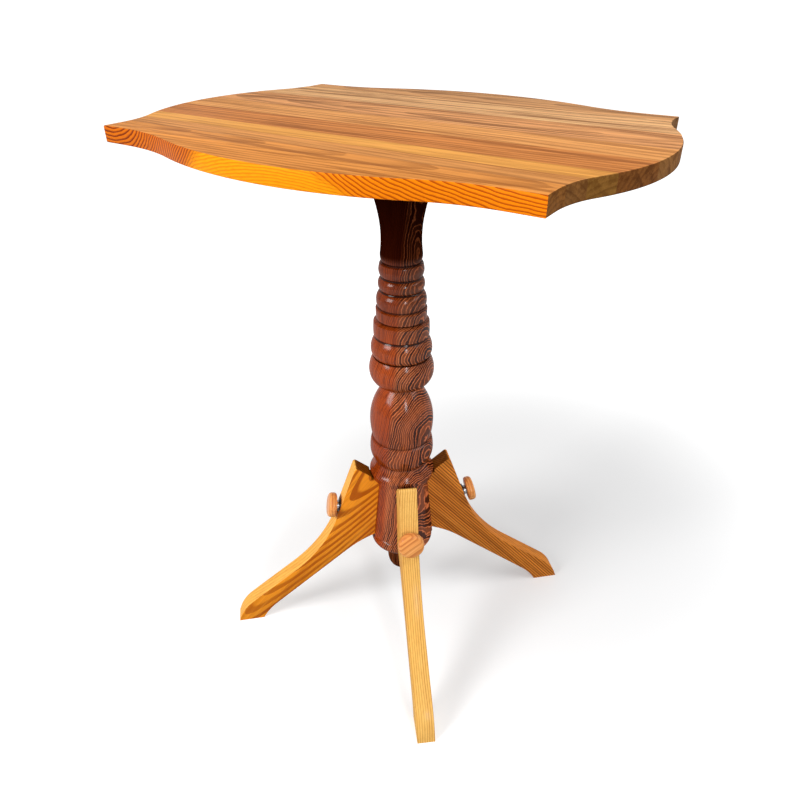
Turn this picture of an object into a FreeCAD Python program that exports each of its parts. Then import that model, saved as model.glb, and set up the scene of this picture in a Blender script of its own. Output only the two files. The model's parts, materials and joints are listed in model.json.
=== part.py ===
import FreeCAD, Part
import math
import operator
import os
from types import SimpleNamespace

import Sketcher
from FreeCAD import Placement, Rotation, Vector

# Pedestal side table: a sawn pine top on a turned column, with four plank legs screwed to the leg block.
# X is the long axis of the top, Y the short one and Z up. The origin is on the floor under the top's middle.
doc = FreeCAD.newDocument("pedestal_side_table")

# Driving sizes in millimetres and degrees
driving = {
    # top
    "top_length": 604.0,
    "top_width": 466.0,
    "top_thickness": 18.0,
    "side_rise": 43.0,
    "end_rise": 44.0,
    # bearer under the top
    "bearer_length": 280.0,
    "bearer_width": 95.0,
    "bearer_thickness": 22.0,
    "bearer_bevel": 12.0,
    "screw_length": 30.0,
    "screw_radius": 2.25,
    "screw_head_radius": 4.5,
    "screw_head_height": 3.0,
    # turned column, from the drop below the legs up to its tenon; it stands a little off the middle
    "column_across": 4.1,
    "column_along": 2.7,
    "floor_clearance": 67.5,
    "drop_height": 60.5,
    "drop_radius": 23.0,
    "lip_height": 21.5,
    "lip_radius": 47.0,
    "block_height": 108.5,
    "block_bottom_width": 90.0,
    "block_top_width": 70.5,
    "flange_height": 28.5,
    "flange_radius": 47.0,
    "ring_height": 39.5,
    "ring_radius": 45.4,
    "ball_height": 85.0,
    "ball_radius": 44.7,
    "great_bead_height": 46.0,
    "great_bead_radius": 44.1,
    "second_bead_height": 29.0,
    "second_bead_radius": 41.1,
    "wide_disc_height": 24.0,
    "wide_disc_radius": 37.6,
    "small_disc_height": 17.5,
    "small_disc_radius": 33.5,
    "third_bead_height": 22.5,
    "third_bead_radius": 32.6,
    "fourth_bead_height": 18.0,
    "fourth_bead_radius": 30.0,
    "collar_height": 19.0,
    "collar_radius": 29.0,
    "neck_height": 59.5,
    "neck_radius": 26.5,
    "capital_height": 63.5,
    "capital_radius": 44.0,
    "tenon_radius": 18.0,
    "wedge_depth": 16.0,
    "wedge_head": 4.0,
    "wedge_tip": 1.2,
    "wedge_width": 30.0,
    # legs
    "front_right_azimuth": -50.0,
    "back_right_azimuth": 43.5,
    "back_left_azimuth": 133.5,
    "front_left_azimuth": 223.5,
    "leg_thickness": 24.5,
    "foot_reach": 269.0,
    "foot_length": 39.0,
    "horn_reach": 70.0,
    "horn_rise": 24.0,
    "horn_slope_drop": 18.6,
    "toe_radius": 70.0,
    "knee_radius": 215.0,
    "hip_radius": 150.0,
    "heel_radius": 90.0,
    "dowel_radius": 5.0,
    "dowel_length": 40.0,
    # knob screws
    "knob_tilt": 12.0,
    "spot_face_radius": 10.5,
    "spot_face_depth": 1.4,
    "washer_radius": 10.0,
    "washer_thickness": 2.0,
    "bolt_radius": 4.0,
    "bolt_stem": 7.0,
    "bolt_collar_radius": 7.0,
    "bolt_collar_length": 4.6,
    "head_radius": 18.5,
    "head_thickness": 11.5,
    "insert_radius": 6.0,
    "insert_length": 18.0,
    "insert_inset": 1.2,
    # fits
    "leg_gap": 0.5,
    "tenon_gap": 0.5,
    "glue_gap": 0.05,
    "thread_gap": 0.05,
    "bolt_hole_gap": 0.4,
    "overrun": 5.0,
}
leg_places = ("front_right", "back_right", "back_left", "front_left")
full_turn = 360

sheet = doc.addObject("Spreadsheet::Sheet", "Sizes")
for row, (alias, number) in enumerate(driving.items(), start=1):
    sheet.set(f"A{row}", alias)
    sheet.set(f"B{row}", str(number))
    sheet.setAlias(f"B{row}", alias)
doc.recompute()


# A size worked out from the sheet: its value now, and the formula that keeps it up to date
class Size:
    def __init__(self, value, formula):
        self.value = value
        self.formula = formula

    def __add__(self, other):
        return joined(self, "+", other)

    def __radd__(self, other):
        return joined(other, "+", self)

    def __sub__(self, other):
        return joined(self, "-", other)

    def __rsub__(self, other):
        return joined(other, "-", self)

    def __mul__(self, other):
        return joined(self, "*", other)

    def __rmul__(self, other):
        return joined(other, "*", self)

    def __truediv__(self, other):
        return joined(self, "/", other)

    def __neg__(self):
        return joined(0, "-", self)


signs = {"+": operator.add, "-": operator.sub, "*": operator.mul, "/": operator.truediv}


def as_size(number):
    return number if isinstance(number, Size) else Size(number, f"({number})")


def joined(left, sign, right):
    left = as_size(left)
    right = as_size(right)
    return Size(signs[sign](left.value, right.value), f"({left.formula} {sign} {right.formula})")


def root(size):
    return Size(math.sqrt(size.value), f"sqrt({size.formula})")


def sine(angle):
    return Size(math.sin(math.radians(angle.value)), f"sin({angle.formula})")


def cosine(angle):
    return Size(math.cos(math.radians(angle.value)), f"cos({angle.formula})")


size = SimpleNamespace(**{alias: Size(number, f"Sizes.{alias}") for alias, number in driving.items()})


# Bind properties of a document object to the sheet
def bind(item, **sizes):
    for name, value in sizes.items():
        item.setExpression(name, as_size(value).formula)
    return item


# Put an object at a bound place, turned about Z by the azimuth; a tilt points its own Z outwards instead
def place(item, across=0, along=0, up=0, azimuth=0, tilt=None):
    turn = Rotation(Vector(0, 0, 1), as_size(azimuth).value)
    if tilt is not None:
        turn = turn * Rotation(Vector(0, 1, 0), 90 - as_size(tilt).value)
    where = [as_size(value) for value in (across, along, up)]
    item.Placement = Placement(Vector(*[value.value for value in where]), turn)
    for axis, value in zip("xyz", where):
        item.setExpression(f"Placement.Base.{axis}", value.formula)
    return item


# The same, measured from the axis of the column
def stand(item, across=0, along=0, up=0, azimuth=0, tilt=None):
    return place(item, size.column_across + across, size.column_along + along, up, azimuth, tilt)


# Put an object at a reach and height in the plane of an azimuth, pointing outwards and up by the tilt
def aim(item, reach, height, azimuth, tilt, put=place):
    azimuth = as_size(azimuth)
    return put(item, reach * cosine(azimuth), reach * sine(azimuth), height, azimuth, tilt)


def cylinder(name, radius, height):
    return bind(doc.addObject("Part::Cylinder", name), Radius=radius, Height=height)


def fused(name, pieces):
    item = doc.addObject("Part::MultiFuse", name)
    item.Shapes = pieces
    return item


def grouped(name, pieces):
    item = doc.addObject("Part::Compound", name)
    item.Links = pieces
    return item


def cut(name, base, tool):
    item = doc.addObject("Part::Cut", name)
    item.Base = base
    item.Tool = tool
    return item


def origin_plane(body, role):
    return next(item for item in body.Origin.OriginFeatures if item.Role == role)


# Outlines: a corner is (across, up, bend of the edge that leaves it), and a bend is (radius, turn) or None.
# A turn of 1 bows out of a counterclockwise outline, and -1 hollows it.
def add_edge(sketch, corner, following):
    first = Vector(as_size(corner[0]).value, as_size(corner[1]).value)
    last = Vector(as_size(following[0]).value, as_size(following[1]).value)
    if corner[2] is None:
        return sketch.addGeometry(Part.LineSegment(first, last)), (1, 2)
    radius, turn = corner[2]
    half = (last - first) / 2
    offset = math.sqrt(radius.value ** 2 - half.Length ** 2)
    centre = first + half + Vector(-half.y, half.x) * (turn * offset / half.Length)
    angles = [math.atan2(point.y - centre.y, point.x - centre.x) for point in (first, last)]
    circle = Part.Circle(centre, Vector(0, 0, 1), radius.value)
    arc = Part.ArcOfCircle(circle, *angles[::turn])
    return sketch.addGeometry(arc), (1, 2)[::turn]


def outline(body, name, role, corners, lift=0):
    sketch = body.newObject("Sketcher::SketchObject", name)
    sketch.AttachmentSupport = [(origin_plane(body, role), "")]
    sketch.MapMode = "FlatFace"
    sketch.AttachmentOffset = Placement(Vector(0, 0, as_size(lift).value), Rotation())
    sketch.setExpression("AttachmentOffset.Base.z", as_size(lift).formula)
    edges = [add_edge(sketch, corner, corners[(index + 1) % len(corners)])
             for index, corner in enumerate(corners)]
    rules = []
    formulas = {}
    for index, (corner, (edge, ends)) in enumerate(zip(corners, edges)):
        before, before_ends = edges[index - 1]
        rules.append(Sketcher.Constraint("Coincident", before, before_ends[1], edge, ends[0]))
        for kind, axis, value in (("DistanceX", -2, corner[0]), ("DistanceY", -1, corner[1])):
            if isinstance(value, Size):
                formulas[len(rules)] = value.formula
                rules.append(Sketcher.Constraint(kind, -1, 1, edge, ends[0], value.value))
            else:
                rules.append(Sketcher.Constraint("PointOnObject", edge, ends[0], axis))
        if corner[2] is not None:
            radius = corner[2][0]
            formulas[len(rules)] = radius.formula
            rules.append(Sketcher.Constraint("Radius", edge, radius.value))
    sketch.addConstraint(rules)
    for rule, formula in formulas.items():
        sketch.setExpression(f"Constraints[{rule}]", formula)
    return sketch


# Corners from (across, up, swell share) points: the swell is the edge's rise as a share of its chord
def swelled(points):
    corners = []
    for index, (across, up, swell_share) in enumerate(points):
        after = points[(index + 1) % len(points)]
        bend = None
        if swell_share:
            step = as_size(after[0] - across)
            rise = as_size(after[1] - up)
            chord = root(step * step + rise * rise)
            radius = chord * ((1 + 4 * swell_share ** 2) / (8 * abs(swell_share)))
            bend = (radius, 1 if swell_share > 0 else -1)
        corners.append((across, up, bend))
    return corners


# Unit step from one point towards another
def direction(start, finish):
    step = finish[0] - start[0]
    rise = finish[1] - start[1]
    length = root(step * step + rise * rise)
    return step / length, rise / length


# Corners from (across, up, radius) points: a radius rounds its point with an arc tangent to both sides
def rounded(points):
    corners = []
    for index, (across, up, radius) in enumerate(points):
        if radius is None:
            corners.append((across, up, None))
            continue
        back = direction(points[index], points[index - 1])
        on = direction(points[index], points[(index + 1) % len(points)])
        spread = back[0] * on[0] + back[1] * on[1]
        tangent = radius * root((1 + spread) / (1 - spread))
        turn = 1 if (back[1] * on[0] - back[0] * on[1]).value > 0 else -1
        corners.append((across + back[0] * tangent, up + back[1] * tangent, (radius, turn)))
        corners.append((across + on[0] * tangent, up + on[1] * tangent, None))
    return corners


# Feature helpers
def new_body(name):
    return doc.addObject("PartDesign::Body", name)


def pad(body, name, sketch, length, side="One side"):
    item = body.newObject("PartDesign::Pad", name)
    item.Profile = sketch
    item.SideType = side
    return bind(item, Length=length)


def turned(body, name, sketch):
    item = body.newObject("PartDesign::Revolution", name)
    item.Profile = sketch
    item.ReferenceAxis = (sketch, ["V_Axis"])
    item.Angle = full_turn
    return item


# Lean the sides of a pad inwards from its foot
def drafted(body, name, base, angle):
    doc.recompute()
    faces = list(enumerate(base.Shape.Faces, start=1))
    sides = [f"Face{index}" for index, face in faces if abs(face.normalAt(0, 0).z) < 0.5]
    foot = next(f"Face{index}" for index, face in faces if face.normalAt(0, 0).z < -0.5)
    item = body.newObject("PartDesign::Draft", name)
    item.Base = (base, sides)
    item.NeutralPlane = (base, [foot])
    return bind(item, Angle=angle)


# Turned sections of the column, bottom to top: (height share, radius share, swell share of the edge above)
section_shares = {
    "drop": ((0, 0, 0), (0.02, 0.42, 0), (0.12, 0.76, 0), (0.336, 0.935, 0), (1, 1, 0)),
    "lip": ((0, 0.862, 0), (0.2, 0.972, 0), (0.45, 1, 0), (0.72, 0.98, 0), (0.93, 0.894, 0),
            (0.93, 0.872, 0), (1, 0.872, 0)),
    "flange": ((0, 0.957, 0), (0.21, 0.957, 0), (0.23, 0.985, 0), (0.33, 1, 0), (0.44, 0.985, 0),
               (0.68, 0.883, 0), (1, 0.835, 0)),
    "ring": ((0.02, 0.855, 0), (0.26, 0.962, 0), (0.53, 1, 0), (0.94, 0.96, 0), (1, 0.905, 0)),
    "ball": ((0.01, 0.922, 0), (0.18, 0.978, 0), (0.353, 1, 0.0855), (0.976, 0.582, 0)),
    "great_bead": ((0, 0.59, 0), (0.12, 0.83, 0), (0.3, 0.96, 0), (0.545, 1, 0.066), (0.99, 0.875, 0)),
    "second_bead": ((0, 0.9, 0), (0.18, 0.98, 0), (0.38, 1, 0.078), (0.985, 0.862, 0)),
    "wide_disc": ((0.03, 0.93, 0), (0.12, 0.985, 0), (0.88, 0.985, 0), (1, 0.86, 0)),
    "small_disc": ((0.03, 0.94, 0), (0.12, 0.99, 0), (0.88, 0.99, 0), (1, 0.925, 0)),
    "third_bead": ((0.02, 0.95, 0), (0.2, 0.99, 0), (0.45, 1, 0), (0.72, 0.96, 0), (0.98, 0.84, 0)),
    "fourth_bead": ((0.02, 0.9, 0), (0.22, 0.98, 0), (0.5, 1, 0), (0.76, 0.96, 0), (0.98, 0.87, 0)),
    "collar": ((0.02, 0.9, 0), (0.25, 0.98, 0), (0.55, 1, 0), (0.92, 0.95, 0), (0.98, 0.86, 0)),
    "neck": ((0.01, 0.94, 0), (0.21, 1, 0), (0.5, 0.98, 0)),
    "capital": ((0, 0.645, 0), (0.35, 0.77, 0), (0.66, 0.93, 0), (0.72, 1, 0), (1, 0.97, 0)),
}
section_order = list(section_shares)
section_order.insert(section_order.index("lip") + 1, "block")

# Levels of the column: where each section starts above the floor
level = {}
height_so_far = size.floor_clearance
for section in section_order:
    level[section] = height_so_far
    height_so_far = height_so_far + getattr(size, section + "_height")
level["bearer"] = height_so_far
level["top"] = level["bearer"] + size.bearer_thickness
level["surface"] = level["top"] + size.top_thickness

leg_azimuths = [getattr(size, f"{place_name}_azimuth") for place_name in leg_places]
block_core_share = 0.8


# Top: one outline sawn round eight glued staves. Each side bows out between two hollows, which end at a share
# of the half side, and the bow takes its own share of that reach.
side_reach_share = 0.879
side_bow_share = 0.645
end_reach_share = 0.894
end_bow_share = 0.686


def bowed_side(rise, reach, bow_share):
    # where the bow turns into its hollow, and the two bends
    both = (reach * reach + rise * rise) / (2 * rise)
    hollow_share = 1 - bow_share
    turn = (reach * bow_share, rise * hollow_share)
    return turn, (both * bow_share, 1), (both * hollow_share, -1)


def top_outline_corners():
    corner_x = size.top_length / 2 - size.end_rise
    corner_y = size.top_width / 2 - size.side_rise
    side_reach = corner_x * side_reach_share
    end_reach = corner_y * end_reach_share
    side_turn, side_bow, side_hollow = bowed_side(size.side_rise, side_reach, side_bow_share)
    end_turn, end_bow, end_hollow = bowed_side(size.end_rise, end_reach, end_bow_share)
    return [
        (corner_x, -corner_y, None),
        (corner_x, -end_reach, end_hollow),
        (corner_x + end_turn[1], -end_turn[0], end_bow),
        (corner_x + end_turn[1], end_turn[0], end_hollow),
        (corner_x, end_reach, None),
        (corner_x, corner_y, None),
        (side_reach, corner_y, side_hollow),
        (side_turn[0], corner_y + side_turn[1], side_bow),
        (-side_turn[0], corner_y + side_turn[1], side_hollow),
        (-side_reach, corner_y, None),
        (-corner_x, corner_y, None),
        (-corner_x, end_reach, end_hollow),
        (-corner_x - end_turn[1], end_turn[0], end_bow),
        (-corner_x - end_turn[1], -end_turn[0], end_hollow),
        (-corner_x, -end_reach, None),
        (-corner_x, -corner_y, None),
        (-side_reach, -corner_y, side_hollow),
        (-side_turn[0], -corner_y - side_turn[1], side_bow),
        (side_turn[0], -corner_y - side_turn[1], side_hollow),
        (side_reach, -corner_y, None),
    ]


# Screws stand in rows through the bearer, as shares of its half length and half width
screw_row_shares = (-0.7, 0.7)
screw_side_shares = (-0.64, 0.64)
screw_places = [(size.bearer_width / 2 * side, size.bearer_length / 2 * row)
                for row in screw_row_shares for side in screw_side_shares]

# Joints between the staves, as shares of the top's width from its front edge
stave_joint_shares = (0, 0.165, 0.225, 0.290, 0.414, 0.532, 0.682, 0.839, 1)


def make_staves():
    body = new_body("top_blank")
    sketch = outline(body, "top_outline", "XY_Plane", top_outline_corners(), level["top"])
    pad(body, "top_pad", sketch, size.top_thickness)
    pilots = []
    for index, (across, along) in enumerate(screw_places, start=1):
        pilot = cylinder(f"pilot_{index}", size.screw_radius + size.glue_gap, size.screw_length)
        pilots.append(stand(pilot, across, along, level["bearer"] + size.glue_gap))
    sawn = cut("top_drilled", body, fused("pilot_holes", pilots))
    staves = []
    shares = zip(stave_joint_shares, stave_joint_shares[1:])
    for index, (near_share, far_share) in enumerate(shares, start=1):
        board = bind(doc.addObject("Part::Box", f"stave_board_{index}"), Length=size.top_length,
                     Width=size.top_width * (far_share - near_share), Height=size.top_thickness)
        place(board, -size.top_length / 2, size.top_width * (near_share - 0.5), level["top"])
        stave = doc.addObject("Part::Common", f"top_stave_{index}")
        stave.Base = board
        stave.Tool = sawn
        staves.append(stave)
    return staves


# Bearer: a batten across the staves, bevelled under its ends, with the mortise for the column
def make_bearer():
    body = new_body("bearer_blank")
    half = size.bearer_length / 2
    low = level["bearer"]
    high = level["top"]
    bevel_end = low + size.bearer_bevel
    corners = [
        (-half + size.bearer_bevel, low, None),
        (half - size.bearer_bevel, low, None),
        (half, bevel_end, None),
        (half, high, None),
        (-half, high, None),
        (-half, bevel_end, None),
    ]
    sketch = outline(body, "bearer_outline", "YZ_Plane", corners)
    pad(body, "bearer_pad", sketch, size.bearer_width, "Symmetric")
    mortise = cylinder("mortise", size.tenon_radius + size.glue_gap, size.bearer_thickness + 2 * size.overrun)
    tools = [place(mortise, 0, 0, low - size.overrun)]
    for index, (across, along) in enumerate(screw_places, start=1):
        shank = cylinder(f"screw_hole_{index}", size.screw_radius + size.glue_gap, size.screw_length)
        sink_radius = size.screw_head_radius + size.glue_gap
        sink = cylinder(f"counterbore_{index}", sink_radius, size.screw_head_height)
        tools += [place(shank, across, along, low), place(sink, across, along, low)]
    return stand(cut("bearer", body, fused("bearer_holes", tools)))


def make_screws():
    screws = []
    for index, (across, along) in enumerate(screw_places, start=1):
        head = cylinder(f"screw_head_{index}", size.screw_head_radius, size.screw_head_height)
        shank = cylinder(f"screw_shank_{index}", size.screw_radius, size.screw_length)
        screws.append(stand(fused(f"screw_{index}", [head, shank]), across, along, level["bearer"]))
    return grouped("bearer_screws", screws)


# Half width of the leg block at a height above its foot, and the slope of its flats
def block_half(height):
    narrowing = (size.block_bottom_width - size.block_top_width) / 2
    return size.block_bottom_width / 2 - narrowing * (height - level["block"]) / size.block_height


def flats_tilt():
    narrowing = (size.block_bottom_width - size.block_top_width) / 2
    slope = narrowing / size.block_height
    return Size(math.degrees(math.atan(slope.value)), f"atan({slope.formula})")


# The block has a flat under each leg and one between each two, all as far from the axis
def with_following(azimuths):
    return zip(azimuths, azimuths[1:] + [azimuths[0] + full_turn])


def block_corners():
    flats = []
    for azimuth, following in with_following(leg_azimuths):
        flats += [azimuth, (azimuth + following) / 2]
    corners = []
    for azimuth, following in with_following(flats):
        reach = size.block_bottom_width / 2 / cosine((following - azimuth) / 2)
        middle = (azimuth + following) / 2
        corners.append((reach * cosine(middle), reach * sine(middle), None))
    return corners


# Bends of a leg's outline, as shares of the reach from its horn to its toe and of the horn's height
toe_bend_shares = (0.953, 0.0913)
knee_bend_shares = (0.263, 0.4716)
hip_bend_shares = (0.008, 0.494)
heel_bend_shares = (0.744, 0.068)
horn_height = level["flange"] + size.horn_rise


def leg_point(reach_share, height_share):
    return size.horn_reach + (size.foot_reach - size.horn_reach) * reach_share, horn_height * height_share


# Knob screws: the axis crosses the straight upper edge of the leg, at a share of the way from horn to knee
knob_seat_share = 0.504


def on_knob_axis(distance):
    # reach and height of the point at a distance outwards from the leg's edge
    knee = leg_point(*knee_bend_shares)
    reach = size.horn_reach + (knee[0] - size.horn_reach) * knob_seat_share
    height = horn_height + (knee[1] - horn_height) * knob_seat_share
    return reach + distance * cosine(size.knob_tilt), height + distance * sine(size.knob_tilt)


# Distance at which the knob axis crosses the flat of the block
def flat_distance():
    reach, height = on_knob_axis(0)
    slope = (size.block_bottom_width - size.block_top_width) / 2 / size.block_height
    return (block_half(height) - reach) / (cosine(size.knob_tilt) + slope * sine(size.knob_tilt))


seat_distance = -size.spot_face_depth
collar_distance = seat_distance + size.washer_thickness
head_distance = collar_distance + size.bolt_collar_length
insert_tip_distance = flat_distance() - size.insert_inset - size.insert_length
bolt_tip_distance = insert_tip_distance + size.leg_gap
bolt_length = collar_distance - bolt_tip_distance
dowel_height_shares = (0.19, 0.76)


# Dowels stand square to the flats, half in the leg and half in the block
def dowel_start(height_share):
    height = level["block"] + size.block_height * height_share
    tilt = flats_tilt()
    back = size.dowel_length / 2
    return block_half(height) - back * cosine(tilt), height - back * sine(tilt), tilt


def make_column():
    body = new_body("column_turning")
    block_foot = outline(body, "block_foot", "XY_Plane", block_corners(), level["block"])
    block = pad(body, "block_pad", block_foot, size.block_height)
    drafted(body, "block_sides", block, flats_tilt())
    points = []
    for section in section_order:
        low = level[section]
        if section == "block":
            core = size.block_top_width / 2 * block_core_share
            points += [(core, low, 0), (core, low + size.block_height, 0)]
            continue
        height = getattr(size, section + "_height")
        radius = getattr(size, section + "_radius")
        for height_share, radius_share, swell_share in section_shares[section]:
            across = radius * radius_share if radius_share else 0
            points.append((across, low + height * height_share, swell_share))
    shoulder = level["bearer"]
    tenon_end = shoulder + size.bearer_thickness - size.tenon_gap
    points += [(size.tenon_radius, shoulder, 0), (size.tenon_radius, tenon_end, 0), (0, tenon_end, 0)]
    turned(body, "column_revolve", outline(body, "column_profile", "XZ_Plane", swelled(points)))
    tools = [make_wedge("kerf", size.glue_gap, size.overrun)]
    for place_name, azimuth in zip(leg_places, leg_azimuths):
        hole = cylinder(f"insert_hole_{place_name}", size.insert_radius + size.glue_gap,
                        size.insert_length + size.overrun)
        tools.append(aim(hole, *on_knob_axis(insert_tip_distance), azimuth, size.knob_tilt))
        for number, height_share in enumerate(dowel_height_shares, start=1):
            reach, height, tilt = dowel_start(height_share)
            hole = cylinder(f"block_dowel_hole_{place_name}_{number}", size.dowel_radius + size.glue_gap,
                            size.dowel_length)
            tools.append(aim(hole, reach, height, azimuth, tilt))
    return stand(cut("column", body, fused("column_holes", tools)))


# The wedge, and the kerf that it is driven into, which is larger by a gap and an overrun
def make_wedge(name, gap, overrun):
    body = new_body(name)
    high = level["top"] - size.tenon_gap
    low = high - size.wedge_depth
    half_head = size.wedge_head / 2 + gap
    half_tip = size.wedge_tip / 2 + gap
    corners = [
        (-half_tip, low, None),
        (half_tip, low, None),
        (half_head, high, None),
        (-half_head, high, None),
    ]
    sketch = outline(body, name + "_profile", "XZ_Plane", corners)
    pad(body, name + "_pad", sketch, size.wedge_width + 2 * overrun, "Symmetric")
    return body


# Legs: sawn from plank to a curved outline that seats on a flat of the block, between the lip and the flange
def leg_corners():
    foot_heel = size.foot_reach - size.foot_length
    seat_low = level["block"] + 3 * size.leg_gap
    seat_high = level["flange"] - size.leg_gap
    notch = size.flange_radius + size.leg_gap
    return rounded([
        (size.foot_reach, 0, None),
        (*leg_point(*toe_bend_shares), size.toe_radius),
        (*leg_point(*knee_bend_shares), size.knee_radius),
        (size.horn_reach, horn_height, None),
        (notch, horn_height - size.horn_slope_drop, None),
        (notch, seat_high, None),
        (block_half(seat_high), seat_high, None),
        (block_half(seat_low), seat_low, None),
        (*leg_point(*hip_bend_shares), size.hip_radius),
        (*leg_point(*heel_bend_shares), size.heel_radius),
        (foot_heel, 0, None),
    ])


def make_leg(place_name, azimuth):
    body = new_body(f"leg_blank_{place_name}")
    sketch = outline(body, f"leg_outline_{place_name}", "XZ_Plane", leg_corners())
    pad(body, f"leg_pad_{place_name}", sketch, size.leg_thickness, "Symmetric")
    bolt_hole = cylinder(f"bolt_hole_{place_name}", size.bolt_radius + size.bolt_hole_gap,
                         bolt_length + size.overrun)
    spot_face = cylinder(f"spot_face_{place_name}", size.spot_face_radius, size.overrun)
    tools = [aim(bolt_hole, *on_knob_axis(bolt_tip_distance), 0, size.knob_tilt),
             aim(spot_face, *on_knob_axis(seat_distance), 0, size.knob_tilt)]
    for number, height_share in enumerate(dowel_height_shares, start=1):
        reach, height, tilt = dowel_start(height_share)
        hole = cylinder(f"leg_dowel_hole_{place_name}_{number}", size.dowel_radius + size.glue_gap,
                        size.dowel_length)
        tools.append(aim(hole, reach, height, 0, tilt))
    leg = cut(f"leg_{place_name}", body, fused(f"leg_holes_{place_name}", tools))
    return stand(leg, azimuth=azimuth)


def make_dowels():
    dowels = []
    for place_name, azimuth in zip(leg_places, leg_azimuths):
        for number, height_share in enumerate(dowel_height_shares, start=1):
            reach, height, tilt = dowel_start(height_share)
            dowel = cylinder(f"dowel_{place_name}_{number}", size.dowel_radius, size.dowel_length)
            dowels.append(aim(dowel, reach, height, azimuth, tilt, stand))
    return grouped("leg_dowels", dowels)


# Knob screw of one leg: bolt with its collar, washer and turned wooden head, in an insert in the block.
# The head's profile is in (radius share, thickness share) pairs.
head_shares = ((0.93, 0), (1, 0.17), (1, 0.76), (0.91, 1))


def make_ring(name, outer_radius, inner_radius, length):
    outer = cylinder(name + "_outer", outer_radius, length)
    return cut(name, outer, cylinder(name + "_bore", inner_radius, length))


def make_inserts():
    inserts = []
    for place_name, azimuth in zip(leg_places, leg_azimuths):
        insert = make_ring(f"insert_{place_name}", size.insert_radius, size.bolt_radius + size.thread_gap,
                           size.insert_length)
        inserts.append(aim(insert, *on_knob_axis(insert_tip_distance), azimuth, size.knob_tilt, stand))
    return grouped("bolt_inserts", inserts)


def make_knob(place_name, azimuth):
    tilt = size.knob_tilt
    washer = make_ring(f"washer_{place_name}", size.washer_radius, size.bolt_radius + size.thread_gap,
                       size.washer_thickness)
    aim(washer, *on_knob_axis(seat_distance), azimuth, tilt, stand)
    stem_length = bolt_length + size.bolt_collar_length + size.bolt_stem
    stem = cylinder(f"bolt_stem_{place_name}", size.bolt_radius, stem_length)
    collar = cylinder(f"bolt_collar_{place_name}", size.bolt_collar_radius, size.bolt_collar_length)
    place(collar, up=bolt_length)
    bolt = fused(f"knob_bolt_{place_name}", [stem, collar])
    aim(bolt, *on_knob_axis(bolt_tip_distance), azimuth, tilt, stand)
    return [washer, bolt, make_head(place_name, azimuth)]


def make_head(place_name, azimuth):
    body = new_body(f"knob_head_{place_name}")
    bore_radius = size.bolt_radius + size.glue_gap
    bore_depth = size.bolt_stem + size.glue_gap
    radius = size.head_radius
    thickness = size.head_thickness
    corners = [(radius * radius_share, thickness * height_share, None)
               for radius_share, height_share in head_shares]
    corners += [(0, thickness, None), (0, bore_depth, None), (bore_radius, bore_depth, None)]
    corners.append((bore_radius, 0, None))
    sketch = outline(body, f"head_profile_{place_name}", "XZ_Plane", corners)
    turned(body, f"head_turning_{place_name}", sketch)
    return aim(body, *on_knob_axis(head_distance), azimuth, size.knob_tilt, stand)


nodes = make_staves() + [make_bearer(), make_screws(), make_column()]
nodes += [stand(make_wedge("tenon_wedge", 0, 0)), make_dowels(), make_inserts()]
for place_name, azimuth in zip(leg_places, leg_azimuths):
    nodes += [make_leg(place_name, azimuth), *make_knob(place_name, azimuth)]
doc.recompute()

# Nothing is written unless every object came out whole
for item in doc.Objects:
    if "Invalid" in item.State or "Error" in item.State:
        raise RuntimeError(f"{item.Name} failed: {item.State}")
for node in nodes:
    if node.Shape.isNull() or not node.Shape.isValid():
        raise RuntimeError(f"{node.Label} has no valid shape")

os.makedirs("parts", exist_ok=True)
for node in nodes:
    node.Shape.exportStep(f"parts/{node.Label}.step")
    print(node.Label, len(node.Shape.Solids), round(node.Shape.Volume / 1000, 2), "cm3")
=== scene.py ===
import json
import math

import bmesh
import bpy
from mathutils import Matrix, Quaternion, Vector


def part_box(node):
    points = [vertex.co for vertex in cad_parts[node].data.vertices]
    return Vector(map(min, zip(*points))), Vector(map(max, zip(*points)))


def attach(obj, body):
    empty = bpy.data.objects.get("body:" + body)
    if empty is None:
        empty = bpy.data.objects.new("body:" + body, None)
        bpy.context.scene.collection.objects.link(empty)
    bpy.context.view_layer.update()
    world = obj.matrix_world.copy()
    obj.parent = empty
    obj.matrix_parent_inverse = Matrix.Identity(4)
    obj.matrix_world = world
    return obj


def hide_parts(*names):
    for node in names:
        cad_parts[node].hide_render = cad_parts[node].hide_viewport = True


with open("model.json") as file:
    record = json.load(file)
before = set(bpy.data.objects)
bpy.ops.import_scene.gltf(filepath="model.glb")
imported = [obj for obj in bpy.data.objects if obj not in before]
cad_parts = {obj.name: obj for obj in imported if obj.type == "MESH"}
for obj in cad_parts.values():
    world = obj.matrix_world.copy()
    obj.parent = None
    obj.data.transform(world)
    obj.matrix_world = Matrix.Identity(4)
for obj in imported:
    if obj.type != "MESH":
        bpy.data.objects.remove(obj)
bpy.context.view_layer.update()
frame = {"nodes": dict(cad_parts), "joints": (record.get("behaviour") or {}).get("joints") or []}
millimetre = 0.001
places = ("front_right", "back_right", "back_left", "front_left")


# Shader wires: a socket that can be added, multiplied and so on
def plug(tree, value, socket):
    if isinstance(value, Wire):
        tree.links.new(value.socket, socket)
    else:
        socket.default_value = value


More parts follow.
